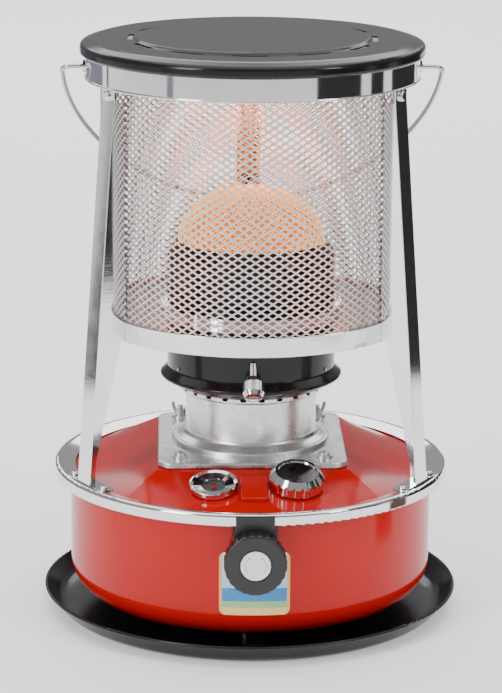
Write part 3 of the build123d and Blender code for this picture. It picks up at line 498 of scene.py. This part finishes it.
# ---- Glowing dome ----
# A net of resistance-steel wire woven in two crossing spirals over a fine gauze, heated to an
# orange glow by the flame under it. It is crimped into the drum's upper rim.
dome_low, dome_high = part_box("glow_dome")
dome_radius = (dome_high[0] - dome_low[0]) / 2
dome_rise = dome_high[2] - dome_low[2]
net_wires = 44
net_wire = 0.0005
net_twist = 1.1
net_reach = 0.94  # the wires end under the crown plate


def closed_tube(grid):
    """Points and faces of a tube on a grid whose columns run round it, with both ends capped."""
    rows, around = grid.shape[:2]
    i, j = np.meshgrid(np.arange(rows - 1), np.arange(around), indexing="ij")
    next_j = (j + 1) % around
    this_row, next_row = i * around, (i + 1) * around
    quads = np.stack([this_row + j, this_row + next_j, next_row + next_j, next_row + j], axis=-1)
    faces = quads.reshape(-1, 4).tolist()
    faces.append(list(range(around))[::-1])
    faces.append([(rows - 1) * around + k for k in range(around)])
    return grid.reshape(-1, 3), faces


def spiral_net():
    """Wires on the dome: longitude = start + twist * share, latitude = share of a right angle.

    Each wire is a square tube whose corners stand along the dome's normal and along the
    direction round it, and the two families cross with opposite twists.
    """
    points, faces = [], []
    share = np.linspace(0.0, net_reach, 22)[:, None]
    corner = np.array([0, 1, 2, 3]) * pi / 2
    for twist in (-net_twist, net_twist):
        layer = net_wire * (1.2 if twist > 0 else 2.6)
        for wire in range(net_wires):
            longitude = 2 * pi * wire / net_wires + twist * share
            latitude = share * pi / 2
            out = dome_radius - layer + net_wire * np.cos(corner)
            up = dome_rise - layer + net_wire * np.cos(corner)
            turned = longitude + net_wire * np.sin(corner) / (dome_radius * np.cos(latitude) + 0.004)
            radius = out * np.cos(latitude)
            grid = np.stack([
                radius * np.cos(turned), radius * np.sin(turned), dome_low[2] + up * np.sin(latitude)
            ], axis=-1)
            more, sides = closed_tube(grid)
            base = sum(len(wire_points) for wire_points in points)
            points.append(more)
            faces += [[base + k for k in face] for face in sides]
    return np.concatenate(points), faces


def piece(name, points, faces, finish, slot, body):
    """New object from points and faces, with its finish and body. The slot argument is not used."""
    mesh = bpy.data.meshes.new(name)
    mesh.from_pydata(np.asarray(points).tolist(), [], faces)
    mesh.materials.append(finish.material)
    mesh.shade_smooth()
    obj = bpy.data.objects.new(name, mesh)
    bpy.context.collection.objects.link(obj)
    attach(obj, body)
    return obj


def turned(profile, around=96):
    """Profile of (radius, height) points carried round the axis, with both ends capped."""
    angle = np.linspace(0, 2 * pi, around, endpoint=False)
    radius = profile[:, 0, None]
    height = profile[:, 1, None] + 0 * angle
    grid = np.stack([radius * np.cos(angle), radius * np.sin(angle), height], axis=-1)
    return closed_tube(grid)


glow = Finish("glow_wire", Base_Color=(0.30, 0.12, 0.05, 1), Roughness=0.6, Emission_Strength=2.0)
warm = 0.75 * (glow.axis("Z") - dome_low[2]) / dome_rise + 0.3 * glow.noise(60.0)
glow.set("Emission Color", glow.mix(warm, (1.0, 0.56, 0.10), (1.0, 0.40, 0.05)))
net = piece("dome_net", *spiral_net(), glow, "glow_wire", "burner")
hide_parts("glow_dome")

ember = Finish("ember_gauze", Base_Color=(0.25, 0.08, 0.03, 1), Roughness=0.8, Emission_Strength=0.9)
ember.set("Emission Color", ember.mix(ember.noise(90.0, detail=4.0), (1.0, 0.14, 0.02), (1.0, 0.36, 0.07)))
gauze_depth = 0.0030  # how far the gauze lies under the dome's surface
gauze_hem = 0.0036
slope = np.linspace(0, pi / 2 - 0.03, 20)
gauze_radius = (dome_radius - gauze_depth) * np.cos(slope)
gauze_height = dome_low[2] + (dome_rise - gauze_depth) * np.sin(slope)
hem = [(dome_radius - gauze_hem, dome_low[2])]
gauze = np.concatenate([hem, np.stack([gauze_radius, gauze_height], axis=1)])
piece("dome_gauze", *turned(gauze), ember, "glow_wire", "burner")
crown = np.array([(0.0072, -0.0024), (0.0072, -0.0006), (0.0060, 0.0)]) + (0, dome_high[2])
piece("dome_crown", *turned(crown, 32), glow, "glow_wire", "burner")

flame = bpy.data.lights.new("flame", "POINT")
flame.color = (1.0, 0.22, 0.05)
flame.energy = 0.9
flame.shadow_soft_size = 0.03
flame_lamp = bpy.data.objects.new("flame", flame)
flame_lamp.location = (0, 0, dome_high[2] + 0.035)
bpy.context.collection.objects.link(flame_lamp)

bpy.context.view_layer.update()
